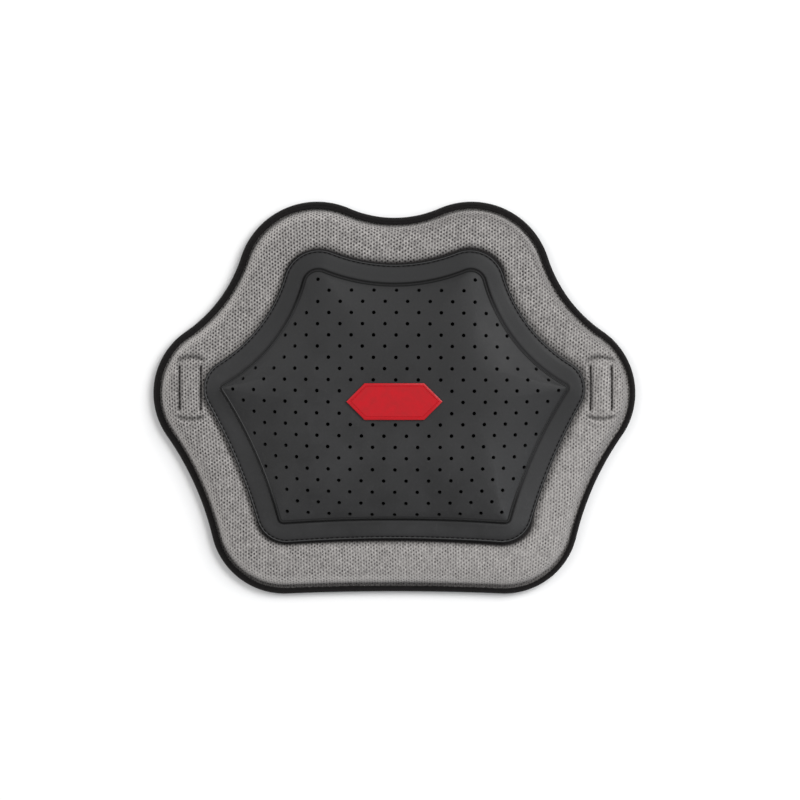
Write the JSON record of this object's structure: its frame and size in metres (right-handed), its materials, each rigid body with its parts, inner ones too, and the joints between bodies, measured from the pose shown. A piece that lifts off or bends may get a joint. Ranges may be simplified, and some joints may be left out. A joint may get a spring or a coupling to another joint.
{
  "type": "chest protector",
  "caption": "Six-lobed chest protector pad: mesh-covered foam with a bound edge and a domed, perforated, stepped plate sewn on its front.",
  "frame": {"origin": "bottom centre of the whole protector's box, on the surface that it lies on", "axes": "+X across the chest (the longest way), +Y up to the neck, +Z out of the chest, through the pad's thickness"},
  "size_m": [0.2896, 0.2356, 0.0303],
  "materials": {
    "spacer_mesh": "grey knitted spacer mesh over foam",
    "binding_tape": "black woven edge tape",
    "plate_rubber": "satin dark grey moulded rubber",
    "badge_red": "satin red plastic"
  },
  "bodies": {
    "root": {"pad": "spacer_mesh", "edge_binding": "binding_tape", "plate": "plate_rubber", "badge": "badge_red"}
  },
  "joints": []
}
